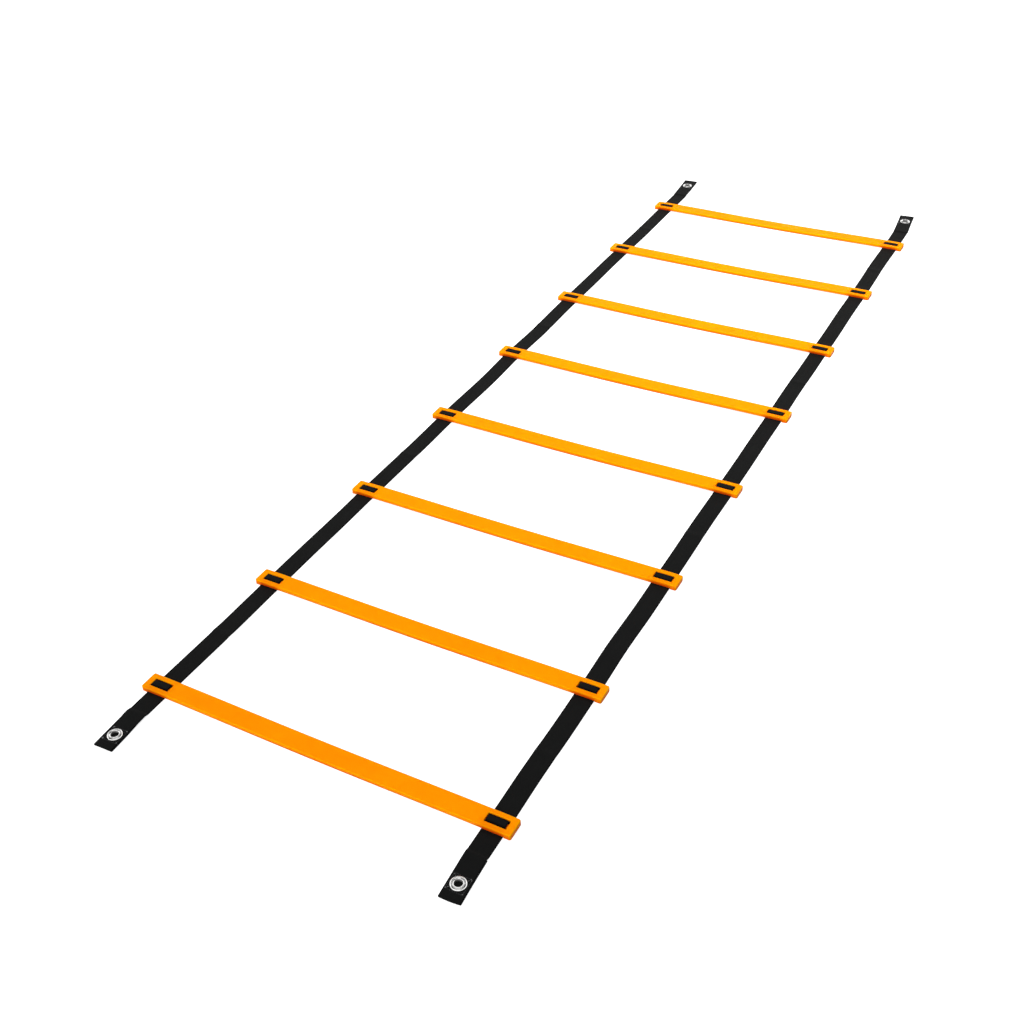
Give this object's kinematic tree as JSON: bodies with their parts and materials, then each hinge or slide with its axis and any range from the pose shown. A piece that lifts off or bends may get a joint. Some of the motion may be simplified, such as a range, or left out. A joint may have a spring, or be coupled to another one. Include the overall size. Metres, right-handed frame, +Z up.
{
  "type": "agility ladder",
  "caption": "Flat training ladder of moulded plastic rungs threaded on two webbing straps, with an eyelet at each strap end; the rungs slide and the ladder folds up.",
  "frame": {"origin": "centre of the ladder's footprint, on the floor", "axes": "+Y along the straps from the near end to the far end, +X along the rungs to the right, +Z up"},
  "size_m": [0.5, 1.794, 0.0072],
  "materials": {
    "orange_plastic": "satin moulded plastic, bright orange",
    "black_webbing": "tightly woven black webbing with a soft sheen",
    "nickel": "bright nickel plate",
    "thread": "dark sewing thread"
  },
  "bodies": {
    "section_1": {"left_strap_1": "black_webbing", "right_strap_1": "black_webbing", "near_left_eyelet": "nickel", "near_left_washer": "nickel", "near_left_stitching": "thread", "near_right_eyelet": "nickel", "near_right_washer": "nickel", "near_right_stitching": "thread"},
    "section_2": {"left_strap_2": "black_webbing", "right_strap_2": "black_webbing"},
    "section_3": {"left_strap_3": "black_webbing", "right_strap_3": "black_webbing"},
    "section_4": {"left_strap_4": "black_webbing", "right_strap_4": "black_webbing"},
    "section_5": {"left_strap_5": "black_webbing", "right_strap_5": "black_webbing"},
    "section_6": {"left_strap_6": "black_webbing", "right_strap_6": "black_webbing"},
    "section_7": {"left_strap_7": "black_webbing", "right_strap_7": "black_webbing"},
    "section_8": {"left_strap_8": "black_webbing", "right_strap_8": "black_webbing", "far_left_eyelet": "nickel", "far_left_washer": "nickel", "far_left_stitching": "thread", "far_right_eyelet": "nickel", "far_right_washer": "nickel", "far_right_stitching": "thread"},
    "slider_1": {"rung_1": "orange_plastic", "left_loop_1": "black_webbing", "right_loop_1": "black_webbing"},
    "slider_2": {"rung_2": "orange_plastic", "left_loop_2": "black_webbing", "right_loop_2": "black_webbing"},
    "slider_3": {"rung_3": "orange_plastic", "left_loop_3": "black_webbing", "right_loop_3": "black_webbing"},
    "slider_4": {"rung_4": "orange_plastic", "left_loop_4": "black_webbing", "right_loop_4": "black_webbing"},
    "slider_5": {"rung_5": "orange_plastic", "left_loop_5": "black_webbing", "right_loop_5": "black_webbing"},
    "slider_6": {"rung_6": "orange_plastic", "left_loop_6": "black_webbing", "right_loop_6": "black_webbing"},
    "slider_7": {"rung_7": "orange_plastic", "left_loop_7": "black_webbing", "right_loop_7": "black_webbing"},
    "slider_8": {"rung_8": "orange_plastic", "left_loop_8": "black_webbing", "right_loop_8": "black_webbing"}
  },
  "joints": [
    {"name": "fold_1", "type": "hinge", "parent": "section_1", "child": "section_2", "pos_m": [0, -0.681, 0.00735], "axis": [1, 0, 0], "range_deg": [0, 179.9]},
    {"name": "fold_2", "type": "hinge", "parent": "section_2", "child": "section_3", "pos_m": [0, -0.461, -0.00015], "axis": [1, 0, 0], "range_deg": [-179.9, 0]},
    {"name": "fold_3", "type": "hinge", "parent": "section_3", "child": "section_4", "pos_m": [0, -0.241, 0.00735], "axis": [1, 0, 0], "range_deg": [0, 179.9]},
    {"name": "fold_4", "type": "hinge", "parent": "section_4", "child": "section_5", "pos_m": [0, -0.021, -0.00015], "axis": [1, 0, 0], "range_deg": [-179.9, 0]},
    {"name": "fold_5", "type": "hinge", "parent": "section_5", "child": "section_6", "pos_m": [0, 0.199, 0.00735], "axis": [1, 0, 0], "range_deg": [0, 179.9]},
    {"name": "fold_6", "type": "hinge", "parent": "section_6", "child": "section_7", "pos_m": [0, 0.419, -0.00015], "axis": [1, 0, 0], "range_deg": [-179.9, 0]},
    {"name": "fold_7", "type": "hinge", "parent": "section_7", "child": "section_8", "pos_m": [0, 0.639, 0.00735], "axis": [1, 0, 0], "range_deg": [0, 179.9]},
    {"name": "slide_1", "type": "slide", "parent": "section_1", "child": "slider_1", "axis": [0, 1, 0], "range_m": [-0.0274, 0.0874]},
    {"name": "slide_2", "type": "slide", "parent": "section_2", "child": "slider_2", "axis": [0, 1, 0], "range_m": [-0.0874, 0.0874]},
    {"name": "slide_3", "type": "slide", "parent": "section_3", "child": "slider_3", "axis": [0, 1, 0], "range_m": [-0.092, 0.0828]},
    {"name": "slide_4", "type": "slide", "parent": "section_4", "child": "slider_4", "axis": [0, 1, 0], "range_m": [-0.094, 0.0808]},
    {"name": "slide_5", "type": "slide", "parent": "section_5", "child": "slider_5", "axis": [0, 1, 0], "range_m": [-0.0892, 0.0856]},
    {"name": "slide_6", "type": "slide", "parent": "section_6", "child": "slider_6", "axis": [0, 1, 0], "range_m": [-0.0885, 0.0863]},
    {"name": "slide_7", "type": "slide", "parent": "section_7", "child": "slider_7", "axis": [0, 1, 0], "range_m": [-0.0903, 0.0845]},
    {"name": "slide_8", "type": "slide", "parent": "section_8", "child": "slider_8", "axis": [0, 1, 0], "range_m": [-0.0874, 0.0544]}
  ],
  "couplings": [
    {"joint": "fold_2", "follows": "fold_1", "ratio": -1},
    {"joint": "fold_3", "follows": "fold_1", "ratio": 1},
    {"joint": "fold_4", "follows": "fold_1", "ratio": -1},
    {"joint": "fold_5", "follows": "fold_1", "ratio": 1},
    {"joint": "fold_6", "follows": "fold_1", "ratio": -1},
    {"joint": "fold_7", "follows": "fold_1", "ratio": 1}
  ]
}
